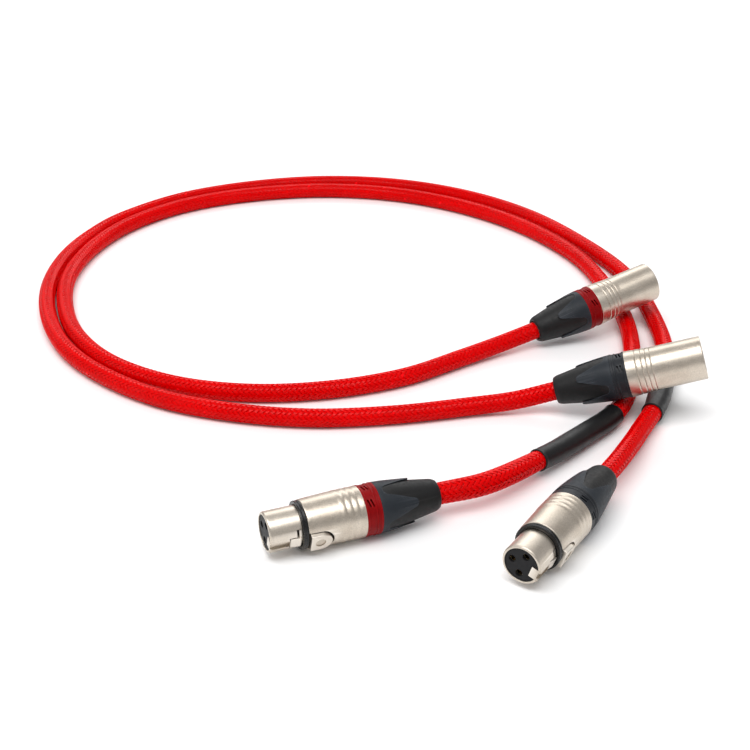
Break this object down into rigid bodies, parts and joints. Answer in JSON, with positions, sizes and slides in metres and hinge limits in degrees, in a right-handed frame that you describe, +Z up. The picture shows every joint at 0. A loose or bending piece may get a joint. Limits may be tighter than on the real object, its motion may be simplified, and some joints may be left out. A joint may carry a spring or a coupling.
{
  "type": "xlr cable pair",
  "caption": "Balanced audio cables in braided sleeving, laid as one open loop, each with a male and a latching female three-pole connector.",
  "frame": {"origin": "middle of the whole layout's box, on the surface it lies on", "axes": "+Z up from the surface; +Y away from the side where the two female connectors lie; +X towards the side where the male connectors cross the runs"},
  "size_m": [0.3206, 0.4217, 0.0402],
  "materials": {
    "sleeve": "woven",
    "heat_shrink": "satin",
    "nickel_shell": "satin",
    "gasket_rubber": "satin",
    "spring_steel": "satin",
    "contact_carrier": "matte",
    "contact_gold": "polished",
    "chuck_plastic": "matte",
    "bushing_plastic": "satin",
    "boot_rubber": "matte",
    "cable_jacket": "matte",
    "wire_insulation": "satin",
    "coding_red": "satin",
    "coding_black": "satin"
  },
  "bodies": {
    "root": {"red_sleeve": "sleeve", "red_heat_shrink": "heat_shrink", "black_sleeve": "sleeve", "black_heat_shrink": "heat_shrink", "red_female_shell": "nickel_shell", "red_female_gasket": "gasket_rubber", "red_female_latch_spring": "spring_steel", "red_female_latch_pin": "spring_steel", "red_female_insert": "contact_carrier", "red_female_sockets": "contact_gold", "red_female_ground": "spring_steel", "red_female_chuck": "chuck_plastic", "red_female_coding_ring": "coding_red", "red_female_bushing": "bushing_plastic", "red_female_boot": "boot_rubber", "red_female_cable_end": "cable_jacket", "red_female_wires": "wire_insulation", "red_male_shell": "nickel_shell", "red_male_insert": "contact_carrier", "red_male_pins": "contact_gold", "red_male_ground": "spring_steel", "red_male_chuck": "chuck_plastic", "red_male_coding_ring": "coding_red", "red_male_bushing": "bushing_plastic", "red_male_boot": "boot_rubber", "red_male_cable_end": "cable_jacket", "red_male_wires": "wire_insulation", "black_female_shell": "nickel_shell", "black_female_gasket": "gasket_rubber", "black_female_latch_spring": "spring_steel", "black_female_latch_pin": "spring_steel", "black_female_insert": "contact_carrier", "black_female_sockets": "contact_gold", "black_female_ground": "spring_steel", "black_female_chuck": "chuck_plastic", "black_female_coding_ring": "coding_black", "black_female_bushing": "bushing_plastic", "black_female_boot": "boot_rubber", "black_female_cable_end": "cable_jacket", "black_female_wires": "wire_insulation", "black_male_shell": "nickel_shell", "black_male_insert": "contact_carrier", "black_male_pins": "contact_gold", "black_male_ground": "spring_steel", "black_male_chuck": "chuck_plastic", "black_male_coding_ring": "coding_black", "black_male_bushing": "bushing_plastic", "black_male_boot": "boot_rubber", "black_male_cable_end": "cable_jacket", "black_male_wires": "wire_insulation"},
    "red_latch": {"red_female_latch": "nickel_shell"},
    "black_latch": {"black_female_latch": "nickel_shell"}
  },
  "joints": [
    {"name": "red_latch_press", "type": "hinge", "parent": "root", "child": "red_latch", "pos_m": [-0.00323, -0.18412, 0.00804], "axis": [-0.1158, 0.2865, -0.9511], "range_deg": [0, 5.5], "stiffness_Nm_per_rad": 0.11, "springref_deg": -5.73, "deforming": ["red_female_latch_spring"]},
    {"name": "black_latch_press", "type": "hinge", "parent": "root", "child": "black_latch", "pos_m": [0.08583, -0.19222, 0.00804], "axis": [-0.2592, 0.1683, -0.9511], "range_deg": [0, 5.5], "stiffness_Nm_per_rad": 0.11, "springref_deg": -5.73, "deforming": ["black_female_latch_spring"]}
  ]
}
